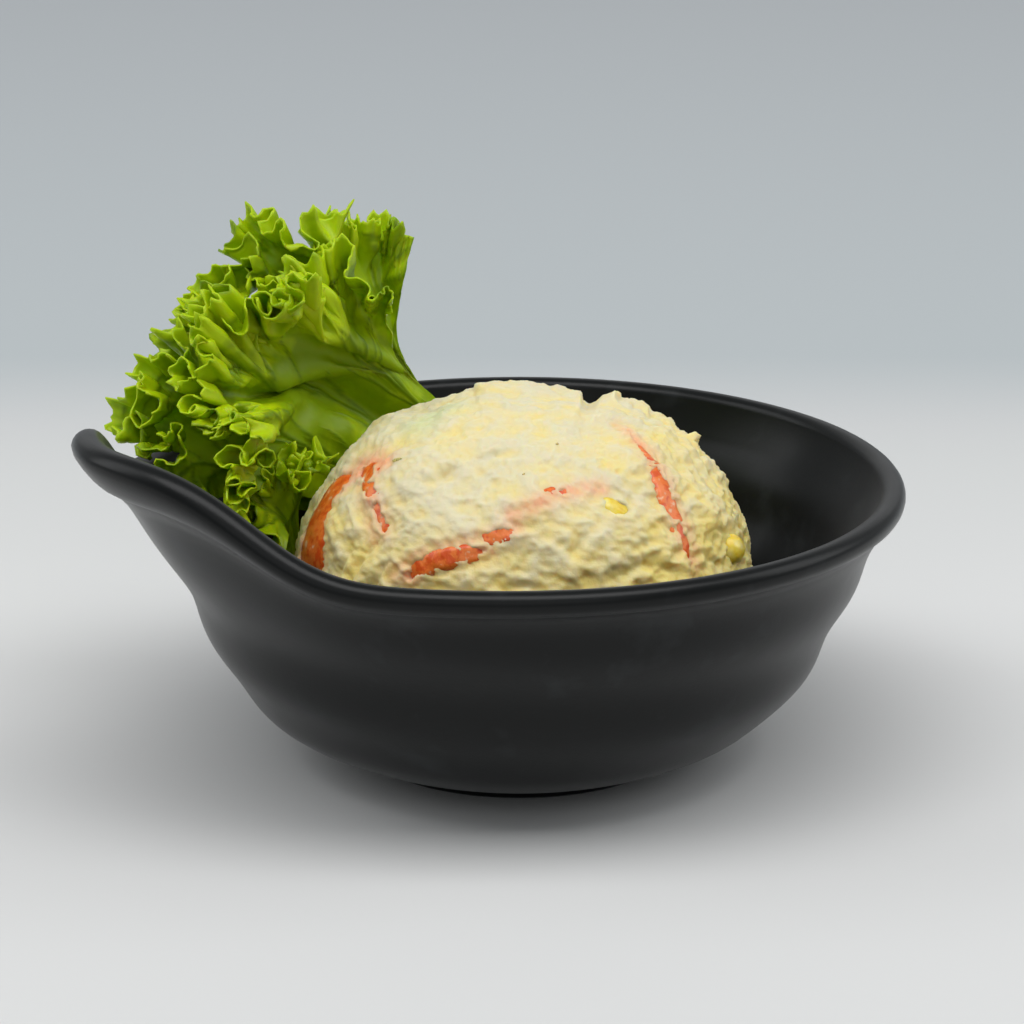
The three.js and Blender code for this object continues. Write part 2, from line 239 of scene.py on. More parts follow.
def wall_heights(low, high):
    """Heights up the wall, closer together where it tucks in at the foot."""
    return [low + (high - low) * (i / WALL_STEPS) ** WALL_CROWDING for i in range(WALL_STEPS + 1)]


def bowl_section():
    """Radius and height round the section, from under the foot to the middle of the floor."""
    foot_inside = FOOT_RADIUS - FOOT_WIDTH
    section = [
        (0, FOOT_RECESS),
        (foot_inside - FOOT_EASE, FOOT_RECESS),
        (foot_inside, 0),
        (FOOT_RADIUS - FOOT_EASE, 0),
        (FOOT_RADIUS, FOOT_EASE),
        (FOOT_RADIUS, FOOT_HEIGHT - FOOT_EASE / 2),
    ]
    section += [(cone_at(h), h) for h in wall_heights(FOOT_HEIGHT + FOOT_EASE / 2, WALL_TOP)]
    for i in range(LIP_STEPS + 1):
        angle = math.radians(-90 + 270 * i / LIP_STEPS)
        across = LIP_ACROSS + LIP_RADIUS * math.cos(angle)
        section.append((across, LIP_UP + LIP_RADIUS * math.sin(angle)))
    inside = wall_heights(FLOOR_HEIGHT + FLOOR_RISE, WALL_TOP)
    section += [(inner_at(h), h) for h in reversed(inside)]
    floor_edge = inner_at(FLOOR_HEIGHT + FLOOR_RISE)
    section += [(floor_edge * share, FLOOR_HEIGHT) for share in (0.9, 0.6, 0.3, 0)]
    return section


def handle_share(shape, angle, share):
    """How strongly the handle pulls, at that angle from its middle and share of the height."""
    across = math.exp(-(abs(angle / shape["half_angle"]) ** shape["angle_fade"]))
    return across * max(0, (share - shape["start"]) / (1 - shape["start"])) ** shape["ramp"]


def formed(place):
    """Where a point of the round bowl lies once the ridge and the handle are formed."""
    radius = math.hypot(place.x, place.y)
    angle = math.atan2(place.y, place.x)
    height = place.z
    from_handle = math.atan2(math.sin(angle - math.pi), math.cos(angle - math.pi))
    share = min(1, height / LIP_UP)
    pull = handle_share(PULL, from_handle, share)
    rise = handle_share(RISE, from_handle, share)
    lip_across, lip_up = radius - LIP_ACROSS, height - LIP_UP
    in_lip = math.hypot(lip_across, lip_up) < LIP_RADIUS + LIP_TOLERANCE
    swell = TIP_SWELL * pull if in_lip else 0
    ridge = 0
    if radius > FOOT_RADIUS:
        turns = (height - RIDGE_START) / RIDGE_PITCH + angle / TURN
        low = smooth(height, RIDGE_FADE, 2.5 * RIDGE_FADE)
        high = 1 - smooth(height, RIM_HEIGHT - 2 * RIDGE_FADE, RIM_HEIGHT - RIDGE_FADE)
        ridge = RIDGE_DEPTH * low * high * math.cos(TURN * turns)
    reach = radius + ridge + swell * lip_across + PULL["reach"] * pull
    up = height + swell * lip_up + RISE["reach"] * rise
    return Vector((reach * math.cos(angle), reach * math.sin(angle), up))


def finished(bm, name, material, turn=0.0):
    """Brings a piece from millimetres round its own axis to its place, and smooths its shading."""
    bmesh.ops.rotate(bm, verts=bm.verts, cent=(0, 0, 0), matrix=Matrix.Rotation(turn, 3, "Z"))
    bmesh.ops.translate(bm, verts=bm.verts, vec=(BOWL_SHIFT, 0, 0))
    bmesh.ops.scale(bm, verts=bm.verts, vec=(MM, MM, MM))
    for face in bm.faces:
        face.smooth = True
    mesh = bpy.data.meshes.new(name)
    bm.to_mesh(mesh)
    bm.free()
    mesh.materials.append(material)
    piece = bpy.data.objects.new(name, mesh)
    bpy.context.collection.objects.link(piece)
    return piece


def bumpy_skin(tree, shader, coords, width, height, strength, detail):
    """Gives a surface bumps of that width and height in mm, too fine for its mesh."""
    bumps = add(tree, "TexNoise", {"Scale": 1 / (width * MM), "Detail": detail}, {"Vector": coords})
    skin = add(tree, "Bump", {"Distance": height * MM, "Strength": strength},
               {"Height": bumps.outputs["Fac"]})
    tree.links.new(skin.outputs[0], shader.inputs["Normal"])


# Melamine moulded matt: a near-black body whose fine-grained skin gives a wide, dull sheen that
# turns grey at a glancing angle. Cutlery and stacking leave faint pale rubs.
MELAMINE_BODY = 0x090B0B
MELAMINE_RUBBED = 0x222526
MOTTLE_WIDTH = 9
GRAIN_WIDTH = 0.5
GRAIN_HEIGHT = 0.02
material, tree, shader = new_material("moulded_matt_melamine")
coords = add(tree, "TexCoord").outputs["Object"]
mottle = add(tree, "TexNoise", {"Scale": 1 / (MOTTLE_WIDTH * MM), "Detail": 4.0},
             {"Vector": coords})
rubs = add(tree, "MapRange", {"From Min": 0.58, "From Max": 0.8}, {"Value": mottle.outputs["Fac"]})
body = add(tree, "MixRGB", {"Color1": linear(MELAMINE_BODY), "Color2": linear(MELAMINE_RUBBED)},
           {"Fac": rubs.outputs[0]})
tree.links.new(body.outputs[0], shader.inputs["Base Color"])
sheen = add(tree, "MapRange", {"To Min": 0.26, "To Max": 0.38}, {"Value": mottle.outputs["Fac"]})
tree.links.new(sheen.outputs[0], shader.inputs["Roughness"])
bumpy_skin(tree, shader, coords, GRAIN_WIDTH, GRAIN_HEIGHT, 0.5, 2.0)
shader.inputs["IOR"].default_value = 1.5
shader.inputs["Specular IOR Level"].default_value = 0.22
shader.inputs["Sheen Weight"].default_value = 0.1
shader.inputs["Sheen Roughness"].default_value = 0.4

bm = bmesh.new()
section = [bm.verts.new((radius, 0, height)) for radius, height in bowl_section()]
edges = [bm.edges.new(pair) for pair in zip(section, section[1:])]
bmesh.ops.spin(bm, geom=section + edges, cent=(0, 0, 0), axis=(0, 0, 1), angle=TURN,
               steps=SPIN_STEPS, use_merge=True)
bmesh.ops.remove_doubles(bm, verts=bm.verts, dist=1e-4)
bmesh.ops.recalc_face_normals(bm, faces=bm.faces)
for vert in bm.verts:
    vert.co = formed(vert.co)
bowl = finished(bm, "handled_bowl", material)
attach(bowl, "root")
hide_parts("bowl")


# ---- The scoop of potato salad ----------------------------------------------------------------
# Floury potato mashed with mayonnaise, packed in a round scoop and turned out: smeared smooth
# on top, torn in flakes at the right and crumbly low in front. Carrot has stained it in places.

SCOOP_RADIUS = 39
SCOOP_WAIST = 29
SCOOP_TOP = 62.2
SCOOP_BOTTOM = 5.9
SCOOP_ASIDE = 0.8
DOME_POWER = 0.88
SKIRT_POWER = 0.66
LUMP_HEIGHT = 0.8
MASH_CUTS = 128
TOP_DENSITY = 0.8
# Where the mash is crumbly and where it is torn: the limits in mm towards the diner or aside, and
# those of the climb in degrees
CRUMBLY_FRONT = (-10, 22)
CRUMBLY_BEHIND = 0.25
CRUMBLY_BELOW = (42, 16)
CRUMBLY_ABOVE = (-30, 0)
TORN_ASIDE = (10, 28)
TORN_BELOW = (78, 55)
# The bumps of the mash: their width in mm, octaves, stretch and seed
BUMPS = {
    "swells": (9, 2, (1.5, 1.5, 1), 1),
    "creases": (4.4, 2, (1.7, 1.7, 1), 2),
    "crumbs": (2.1, 3, (1.1, 1.1, 0.9), 3),
    "furrows": (2.2, 2, (1, 1, 3.5), 6),
    "grain": (0.9, 2, (1, 1, 1), 4),
}
# Their height in mm all over, and what is added to it where the mash is crumbly and where torn
BUMP_HEIGHTS = {
    "swells": (0.45, 0, 0),
    "creases": (0.38, 0.15, 0),
    "crumbs": (0.34, 0.1, 0.2),
    "furrows": (0, 0, 0.4),
    "grain": (0.17, 0.04, 0),
    "clumps": (0.12, 0.55, 0.35),
}
# The clumps come in two widths in mm, each with its share
CLUMPS = [(4.2, 0.35), (2.3, 0.25)]
CLUMP_SEEDS = (21, 22, 23)
CLUMP_DRIFT = 0.35
CLUMP_ROUNDING = 1.5


def smooth_scoop(around, up):
    """Points of the even scoop at those azimuths and climbs, in degrees."""
    a, c = np.radians(around), np.radians(up)
    lower = c < 0
    reach = np.cos(c) ** np.where(lower, SKIRT_POWER, 1)
    rise = np.abs(np.sin(c)) ** np.where(lower, SKIRT_POWER, DOME_POWER)
    height = np.where(lower, SCOOP_BOTTOM - SCOOP_WAIST, SCOOP_TOP - SCOOP_WAIST) * rise
    x = SCOOP_ASIDE + SCOOP_RADIUS * reach * np.cos(a)
    y = SCOOP_RADIUS * reach * np.sin(a)
    return np.stack([x, y, SCOOP_WAIST + height], -1)


def scoop_outward(points):
    """The directions straight out from the scoop's middle."""
    away = points - np.array([SCOOP_ASIDE, 0, SCOOP_WAIST])
    return away / np.linalg.norm(away, axis=-1, keepdims=True)


def lumpy_scoop(around, up):
    """The scoop with its broad lumps, 15 to 40 mm long, which the carrot and corn lie in."""
    points = smooth_scoop(around, up)
    x, y, z = points[..., 0], points[..., 1], points[..., 2]
    a = np.sin(0.31 * x + 1.3) * np.sin(0.27 * z - 0.4)
    b = np.sin(0.22 * y - 0.21 * x + 2.1) * np.sin(0.36 * z + 0.9)
    c = np.sin(0.41 * y + 0.17 * z)
    height = LUMP_HEIGHT * smooth(up, -20, 10) * (a + b + c) / 3
    return points + scoop_outward(points) * height[..., None]


def rough(points, width, octaves=1, stretch=(1, 1, 1), seed=0):
    """Noise of that width in mm at each point, from about -1 to 1."""
    spots = points / (np.array(stretch, float) * width) + np.array([17.3, -9.1, 5.7]) * seed
    if octaves == 1:
        return np.array([noise.noise(Vector(spot)) for spot in spots])
    return np.array([noise.fractal(Vector(spot), 0.9, 2.1, octaves) for spot in spots])


def clumps(points, width):
    """Rounded clumps of that width in mm with creases between them, from -0.5 to 0.5."""
    drift = np.stack([rough(points, 0.8 * width, 2, seed=seed) for seed in CLUMP_SEEDS], 1)
    spots = points / width + CLUMP_DRIFT * drift
    nearest = np.array([noise.voronoi(Vector(spot))[0][0] for spot in spots])
    return 0.5 - np.clip(nearest, 0, 1) ** CLUMP_ROUNDING


def curve_through(places, count):
    """Evenly stepped places on a smooth curve through a few."""
    p = np.array(places, float)
    p = np.vstack([2 * p[0] - p[1], p, 2 * p[-1] - p[-2]])
    along = np.linspace(0, len(places) - 1, count)
    i = np.minimum(along.astype(int), len(places) - 2)
    f = (along - i)[:, None]
    a, b, c, d = p[i], p[i + 1], p[i + 2], p[i + 3]
    cubic = (3 * b - a - 3 * c + d) * f ** 3 + (2 * a - 5 * b + 4 * c - d) * f ** 2
    return 0.5 * (cubic + (c - a) * f + 2 * b)


# Carrot slices lie edge-on in the surface. Each path is a list of (azimuth, climb) in degrees,
# and the mash has left each one bare over the shares of its length that are listed.
CARROTS = {
    "carrot_slice_left": {
        "path": [(-157, 6), (-160, 15), (-163.5, 24), (-165, 32), (-163, 39)],
        "width": [12, 11, 8.5, 5.5, 3], "depth": 5,
        "bare": [(0.02, 0.96)],
    },
    "carrot_strip_left": {
        "path": [(-160, 40), (-153, 42), (-145, 38), (-136, 32), (-131, 27)],
        "width": [2.4, 2.1, 1.4, 1.5, 1.3], "depth": 3,
        "bare": [(0.03, 0.4), (0.47, 0.58), (0.66, 0.96)],
    },
    "carrot_slice_front": {
        "path": [(-121, 16), (-116, 21), (-109, 24), (-99, 27)],
        "width": [2.3, 2, 1.4, 1], "depth": 5,
        "bare": [(0.03, 0.5), (0.57, 0.97)],
    },
    "carrot_bit_front": {
        "path": [(-102, 29.5), (-97.5, 31), (-92.5, 33)],
        "width": [0.5, 1.1, 0.6], "depth": 3,
        "bare": [(0.06, 0.94)],
    },
    "carrot_bit_middle": {
        "path": [(-87, 40), (-80, 43), (-73, 45)],
        "width": [1.2, 1, 0.9], "depth": 3,
        "bare": [(0.62, 0.8)],
    },
    "carrot_slice_right": {
        "path": [(-29.5, 61), (-36.5, 51), (-41, 40), (-43.5, 27), (-43, 17)],
        "width": [1, 1.5, 1.2, 1.4, 2], "depth": 4,
        "bare": [(0.02, 0.3), (0.38, 0.58), (0.72, 0.97)],
    },
}
PATH_STEPS = 60
SLICE_BLUNTNESS = 0.4
# Smears of carrot juice and pulp in the mash: paths as above, half width and strength
SMEARS = [
    ([(-163, 30), (-163, 37), (-160, 43), (-150, 45)], 3.0, 1.3),
    ([(-156, 38), (-149, 37), (-141, 32), (-134, 25)], 1.6, 0.45),
    ([(-124, 17), (-116, 24), (-104, 29), (-92, 34)], 1.6, 0.6),
    ([(-94, 37), (-84, 41), (-74, 44), (-64, 44)], 1.8, 0.75),
    ([(-29, 62), (-35, 48), (-40, 33), (-42, 16)], 1.8, 0.55),
]
# Cucumber has tinted the mash beside its shred
CUCUMBER_SMEAR = {"path": [(-160, 62), (-170, 70)], "steps": 12, "half_width": 4, "strength": 0.55}
# Corn kernels lie in the surface, crown outwards: azimuth and climb, turn, and the real sizes
KERNELS = {
    "corn_kernel_front": {
        "azimuth": -61, "climb": 37, "spin": 70, "proud": 0.35,
        "length": 6.5, "width": 4.6, "thickness": 3.8,
    },
    "corn_kernel_right": {
        "azimuth": -21, "climb": 15, "spin": 80, "proud": 1.3,
        "length": 6.5, "width": 5, "thickness": 4,
    },
}
# How far the torn outline, as the diner sees it, stands out from the even scoop: the angle over
# the top from the right, and the height. Its broad waves reach over the scoop, its flakes do not.
OUTLINE_WAVES = [
    (-10, -0.6), (8, -0.7), (22, -0.4), (32, 0.3), (48, 0.1), (60, -0.2), (70, -1.1), (84, -0.8),
    (98, -0.3), (108, -0.8), (120, -1.2), (133, 0.2), (146, -0.5), (156, -0.9), (166, -0.1),
    (190, 0),
]
OUTLINE_FLAKES = [
    (26, 0), (28, 0.3), (29.5, -0.2), (33, 0.1), (35.5, -0.2), (38.6, 0), (39.2, 1.7), (40.6, 1.9),
    (41.6, 0), (45, -0.2), (48, 0.2), (52.5, -0.5), (53.5, -0.4), (54.3, 0.4), (58, -0.2),
    (58.8, 0.4), (61.9, 0.3), (62.6, 1.2), (64, 2.0), (66.8, 0.5), (67.8, -1.1), (69.8, -2.0),
    (72, -1.3), (73, 0.5), (75.8, 0.8), (79, 0.2), (82, -0.2), (90, 0.2), (95, -0.1), (99, 0.2),
    (103.4, 0.5), (104.6, -0.4), (110, 0), (116, -0.1), (124, -0.3), (127, 0.2), (129.5, 1.0),
    (132, 0.3), (137, 0), (142, 0.2), (150, -0.2), (158, 0),
]
WAVE_REACH = 0.35
FLAKE_REACH = 0.1
FLAKE_BEND = 60
GAP_REACH = 0.4
FLAKE_SHIFT = 0.06
# Crevices and creases: the path as (azimuth, climb), half width and depth
CREVICES = [
    ([(-80, 23), (-76, 27), (-73, 31)], 0.8, 0.9),
    ([(-114, 53), (-106, 56), (-98, 60)], 1.0, 0.8),
    ([(-122, 44), (-120, 48), (-118, 52)], 0.9, 0.8),
    ([(-138, 10), (-136, 18), (-132, 26)], 0.8, 1.0),
    ([(-131, 8), (-129, 15), (-127, 22)], 0.7, 0.9),
    ([(-144, 9), (-142, 16), (-141, 22)], 0.7, 0.9),
    ([(-68, 17), (-60, 20), (-52, 19)], 0.9, 0.5),
    ([(-98, 14), (-92, 17), (-86, 16)], 0.9, 0.8),
    ([(-62, 28), (-56, 26), (-50, 27)], 0.9, 0.4),
    ([(-66, 12), (-60, 10), (-52, 12)], 1.0, 0.8),
]
CREVICE_STEPS = 24
# The bare dips: how their edge wanders, as height, width, octaves and seed, then the edge itself,
# how much of the relief it takes away, how deep it goes and the low rim of mash round it
RAGGED_EDGE = [(0.5, 1.1, 2, 5), (0.4, 3.5, 1, 14)]
BARE_EDGE = (-0.5, 0.1)
BARE_FLATTENING = 0.8
BARE_DIP = 0.75
BARE_RIM = {"height": 0.22, "place": 0.5, "half_width": 0.4}
COVERED_GAP = 40
FAR = 99.0
KERNEL_BARE = 0.6
KERNEL_REACH = 6
JUICE_STAIN = 0.85
JUICE_REACH = 0.9
STAIN_PATCHES = 0.4
STAIN_PATCH_WIDTH = 1.3
# How much yellower painted shade, partly the potato's own yellow, the crumbly and torn parts get
HOLLOW_CRUMBLY = 0.45
HOLLOW_TORN = 0.3


def near_line(points, line):
    """How far each point is from the nearest point of a line, and which one that is."""
    gaps = np.linalg.norm(points[:, None] - line[None], axis=2)
    nearest = gaps.argmin(axis=1)
    return gaps[np.arange(len(points)), nearest], nearest


def on_scoop(path, count):
    """Evenly stepped points on the lumpy scoop, along a path of (azimuth, climb)."""
    turns = curve_through(path, count)
    return lumpy_scoop(turns[:, 0], turns[:, 1])


def slice_taper(share):
    """How full a slice is at that share of its length, with blunt ends."""
    return np.maximum(1 - (2 * share - 1) ** 4, 0) ** SLICE_BLUNTNESS


def slice_width(carrot, share):
    """The width of a slice's face at that share of its length."""
    stops = np.linspace(0, 1, len(carrot["width"]))
    return np.interp(share, stops, carrot["width"]) * slice_taper(share)


def kernel_axes(kernel):
    """The middle of a kernel's place, and its directions across, along and out."""
    place = lumpy_scoop(np.array(kernel["azimuth"]), np.array(kernel["climb"]))
    out = Vector(scoop_outward(place))
    across = Vector((0, 0, 1)).cross(out).normalized()
    turn = Matrix.Rotation(math.radians(kernel["spin"]), 3, out)
    across = turn @ across
    return Vector(place), across, out.cross(across), out


# A cube rounded to a ball, with its points drawn together towards the top
bm = bmesh.new()
bmesh.ops.create_cube(bm, size=2)
bmesh.ops.subdivide_edges(bm, edges=bm.edges, cuts=MASH_CUTS, use_grid_fill=True)
cube = np.array([vert.co for vert in bm.verts])
ball = np.tan(cube * math.pi / 4)
ball /= np.linalg.norm(ball, axis=1, keepdims=True)
flat = ball[:, :2] / np.maximum(1 + ball[:, 2:], 1e-9) * TOP_DENSITY
spread = (flat ** 2).sum(axis=1)
ball = np.column_stack([2 * flat, 1 - spread]) / (1 + spread)[:, None]
azimuth = np.degrees(np.arctan2(ball[:, 1], ball[:, 0]))
climb = np.degrees(np.arcsin(np.clip(ball[:, 2], -1, 1)))
mash = lumpy_scoop(azimuth, climb)
outward = scoop_outward(mash)
x, y = mash[:, 0], mash[:, 1]

# Smears all over, crumbs low in front, and furrows down the torn right side
crumbly = CRUMBLY_BEHIND + (1 - CRUMBLY_BEHIND) * smooth(-y, *CRUMBLY_FRONT)
crumbly = crumbly * smooth(climb, *CRUMBLY_BELOW) * smooth(climb, *CRUMBLY_ABOVE)
torn = smooth(x, *TORN_ASIDE) * smooth(climb, *TORN_BELOW)
relief = {name: rough(mash, *bumps) for name, bumps in BUMPS.items()}
relief["creases"] = (1 - np.abs(relief["creases"])) ** 3 - 0.5
relief["clumps"] = sum(share * clumps(mash, width) for width, share in CLUMPS)
height = np.zeros(len(mash))
for name, (all_over, if_crumbly, if_torn) in BUMP_HEIGHTS.items():
    height += (all_over + if_crumbly * crumbly + if_torn * torn) * relief[name]

# The torn outline, from the diner's line of sight and the way up across it
sight = np.array([0, -math.cos(CAMERA_TILT), math.sin(CAMERA_TILT)])
over = np.array([0, math.sin(CAMERA_TILT), math.cos(CAMERA_TILT)])
nearness = outward @ sight - FLAKE_SHIFT
turn = np.degrees(np.arctan2(outward @ over, outward[:, 0]))
height += np.interp(turn, *zip(*OUTLINE_WAVES)) * np.exp(-((nearness / WAVE_REACH) ** 2))
bent = turn + FLAKE_BEND * nearness * (0.3 + rough(mash, 7, seed=11))
reach = FLAKE_REACH * (1 + 0.5 * rough(mash, 5, seed=13))
flakes = np.maximum(np.interp(bent, *zip(*OUTLINE_FLAKES)), 0)
height += flakes * np.exp(-((nearness / reach) ** 2))
gaps = np.minimum(np.interp(turn, *zip(*OUTLINE_FLAKES)), 0)
height += gaps * np.exp(-((nearness / GAP_REACH) ** 2))
for path, half_width, depth in CREVICES:
    gap, nearest = near_line(mash, on_scoop(path, CREVICE_STEPS))
    ends = np.sin(np.pi * (nearest + 0.5) / CREVICE_STEPS)
    height -= depth * ends * np.exp(-((gap / half_width) ** 2))

# Where carrot and corn are bare the mash dips under them, with a ragged edge
bare_gap = np.full(len(mash), FAR)
stain = np.zeros(len(mash))
for carrot in CARROTS.values():
    gap, nearest = near_line(mash, on_scoop(carrot["path"], PATH_STEPS))
    share = nearest / (PATH_STEPS - 1)
    gap = gap - slice_width(carrot, share) / 2
    covered = np.min([np.maximum(np.maximum(start - share, share - end), 0)
                      for start, end in carrot["bare"]], axis=0)
    bare_gap = np.minimum(bare_gap, gap + COVERED_GAP * covered)
    stain = np.maximum(stain, JUICE_STAIN * np.exp(-np.maximum(gap, 0) / JUICE_REACH))
for path, half_width, strength in SMEARS:
    gap, _ = near_line(mash, on_scoop(path, PATH_STEPS))
    stain = np.maximum(stain, strength * np.exp(-((gap / half_width) ** 2)))
for kernel in KERNELS.values():
    place, across, along, out = kernel_axes(kernel)
    away = mash - np.array(place)
    u = away @ np.array(across) / (kernel["width"] / 2)
    v = away @ np.array(along) / (kernel["length"] / 2)
    w = away @ np.array(out)
    gap = (np.sqrt(u ** 2 + v ** 2) - KERNEL_BARE) * kernel["width"] / 2
    bare_gap = np.minimum(bare_gap, np.where(np.abs(w) < KERNEL_REACH, gap, FAR))
ragged = bare_gap
for wander, width, octaves, seed in RAGGED_EDGE:
    ragged = ragged + wander * rough(mash, width, octaves, seed=seed)
bared = 1 - smooth(ragged, *BARE_EDGE)
height = height * (1 - BARE_FLATTENING * bared) - BARE_DIP * bared
rim_gap = (ragged - BARE_RIM["place"]) / BARE_RIM["half_width"]
height += BARE_RIM["height"] * np.exp(-(rim_gap ** 2))

# Colour: what carrot has stained, the yellower painted shade in the hollows, low in front and on
# the torn side, partly the potato's own yellow there, and what cucumber has tinted
patches = np.clip(1.5 * rough(mash, STAIN_PATCH_WIDTH, 2, seed=9) + 0.6, 0, 1)
stain *= 1 - STAIN_PATCHES + STAIN_PATCHES * patches
# Painted shade: the hollows, the crumbly front and the torn side are tinted yellower, partly the
# potato's own yellow there.
yellow_shade_and_potato = np.clip(0.4 - 0.7 * relief["crumbs"] - 0.8 * relief["creases"], 0, 1)
yellow_shade_and_potato = np.clip(yellow_shade_and_potato * 0.6 + HOLLOW_CRUMBLY * crumbly + HOLLOW_TORN * torn, 0, 1)
gap, _ = near_line(mash, on_scoop(CUCUMBER_SMEAR["path"], CUCUMBER_SMEAR["steps"]))
herb = CUCUMBER_SMEAR["strength"] * np.exp(-((gap / CUCUMBER_SMEAR["half_width"]) ** 2))
mash = mash + outward * height[:, None]
paint = bm.verts.layers.float_color.new("mash")
for vert, place, tint in zip(bm.verts, mash, np.stack([stain, yellow_shade_and_potato, herb], 1)):
    vert.co = place
    vert[paint] = (*tint, 1)

# Mashed potato bound with mayonnaise: pale cream and moist. Light spreads inside it, which
# softens its shadows. A yellower painted shade lies in its hollows, low in front and on its torn
# side, where it is partly the potato's own yellow, and it is pink to orange beside the carrot.
MASH_CREAM = 0xE1D8B4
MASH_YELLOW = 0xF0DA80
CARROT_STAIN = 0xF2AE84
CUCUMBER_TINT = 0xC9D6A0
CLOUD_WIDTH = 6
STARCH_WIDTH = 0.45
STARCH_HEIGHT = 0.12
material, tree, shader = new_material("mashed_potato_with_mayonnaise")
paint = add(tree, "Attribute", {"attribute_name": "mash"}).outputs["Color"]
parts = add(tree, "SeparateColor", links={0: paint})
coords = add(tree, "TexCoord").outputs["Object"]
cloud = add(tree, "TexNoise", {"Scale": 1 / (CLOUD_WIDTH * MM), "Detail": 5.0}, {"Vector": coords})
uneven = add(tree, "MapRange",
             {"From Min": 0.35, "From Max": 0.7, "To Min": -0.25, "To Max": 0.22},
             {"Value": cloud.outputs["Fac"]})
# The yellower painted shade, partly the potato's own yellow, is mixed into the cream here.
yellow = add(tree, "Math", {"operation": "ADD", "use_clamp": True},
             {0: parts.outputs["Green"], 1: uneven.outputs[0]})
flesh = add(tree, "MixRGB", {"Color1": linear(MASH_CREAM), "Color2": linear(MASH_YELLOW)},
            {"Fac": yellow.outputs[0]})
greened = add(tree, "MixRGB", {"Color2": linear(CUCUMBER_TINT)},
              {"Fac": parts.outputs["Blue"], "Color1": flesh.outputs[0]})
stained = add(tree, "MixRGB", {"Color2": linear(CARROT_STAIN)},
              {"Fac": parts.outputs["Red"], "Color1": greened.outputs[0]})
tree.links.new(stained.outputs[0], shader.inputs["Base Color"])
damp = add(tree, "MapRange", {"To Min": 0.34, "To Max": 0.62}, {"Value": cloud.outputs["Fac"]})
tree.links.new(damp.outputs[0], shader.inputs["Roughness"])
bumpy_skin(tree, shader, coords, STARCH_WIDTH, STARCH_HEIGHT, 0.6, 4.0)
shader.inputs["Subsurface Weight"].default_value = 0.8
shader.inputs["Subsurface Radius"].default_value = (1.0, 0.75, 0.4)
shader.inputs["Subsurface Scale"].default_value = 0.0014
scoop = finished(bm, "potato_salad_scoop", material, SERVED_TURN)
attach(scoop, "root")
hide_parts("potato_salad")


# ---- The specks -------------------------------------------------------------------------------
# A shred of dark green cucumber skin and two grains of ground pepper, stirred in with the mash
# and left lying in its surface. Dressing clings to each one, so it is dull and pale in patches.

SPECKS = {
    "cucumber_skin_shred": {
        "azimuth": -142.5, "climb": 48, "size": (1.9, 0.7, 0.4),
        "material": "sliced_cucumber_skin", "tone": 0x6E7430,
    },
    "pepper_grain_top": {
        "azimuth": -90.5, "climb": 49.5, "size": (0.5, 0.4, 0.35),
        "material": "ground_pepper", "tone": 0x7A5A34,
    },
    "pepper_grain_right": {
        "azimuth": -74, "climb": 60.5, "size": (0.5, 0.5, 0.35),
        "material": "ground_pepper", "tone": 0x6A4A2C,
    },
}
SPECK_TURN = 25
SPECK_UNEVENNESS = 0.4
DRESSING_WIDTH = 0.3
for name, speck in SPECKS.items():
    material, tree, shader = new_material(speck["material"])
    coords = add(tree, "TexCoord").outputs["Object"]
    cloud = add(tree, "TexNoise", {"Scale": 1 / (DRESSING_WIDTH * MM), "Detail": 2.0},
                {"Vector": coords})
    skin = ramp(tree, cloud.outputs["Fac"], [(0.3, speck["tone"]), (0.7, MASH_YELLOW)])
    tree.links.new(skin, shader.inputs["Base Color"])
    shader.inputs["Roughness"].default_value = 0.5
    towards = smooth_scoop(np.array(speck["azimuth"]), np.array(speck["climb"]))
    place = mash[np.linalg.norm(mash - towards, axis=1).argmin()]
    out = Vector(scoop_outward(place))
    across = Vector((0, 0, 1)).cross(out).normalized()
    across = Matrix.Rotation(math.radians(SPECK_TURN), 3, out) @ across
    long, wide, thick = speck["size"]
    bm = bmesh.new()
    bmesh.ops.create_icosphere(bm, subdivisions=3, radius=0.5)
    for vert in bm.verts:
        u, v, w = vert.co * (1 + SPECK_UNEVENNESS * noise.noise(vert.co * 4))
        vert.co = Vector(place) + across * u * long + out.cross(across) * v * wide + out * w * thick
    piece = finished(bm, name, material, SERVED_TURN)
    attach(piece, "root")


# ---- The carrot -------------------------------------------------------------------------------
# Thin half-moons and strips of boiled carrot, sliced across and folded into the mash, so that
# they show edge-on. Each one here is a ball drawn out along its path and squared a little.

# Boiled carrot: dense orange-red flesh, wet with dressing that pales it in patches, and finely
# fibrous where it was cut.
CARROT_FLESH = 0xF07C30
CARROT_DEEP = 0xE0581C
CARROT_SMEARED = 0xF0B88E
FLESH_WIDTH = 1.6
FIBRE_WIDTH = 0.5
FIBRE_HEIGHT = 0.1
material, tree, shader = new_material("boiled_carrot")
coords = add(tree, "TexCoord").outputs["Object"]
cloud = add(tree, "TexNoise", {"Scale": 1 / (FLESH_WIDTH * MM), "Detail": 4.0}, {"Vector": coords})
flesh = ramp(tree, cloud.outputs["Fac"], [
    (0.4, CARROT_DEEP), (0.5, CARROT_FLESH), (0.6, CARROT_FLESH), (0.68, CARROT_SMEARED),
])
tree.links.new(flesh, shader.inputs["Base Color"])
shader.inputs["Roughness"].default_value = 0.3
shader.inputs["Subsurface Weight"].default_value = 0.2
shader.inputs["Subsurface Radius"].default_value = (1.0, 0.5, 0.2)
shader.inputs["Subsurface Scale"].default_value = 0.0006
bumpy_skin(tree, shader, coords, FIBRE_WIDTH, FIBRE_HEIGHT, 0.6, 3.0)

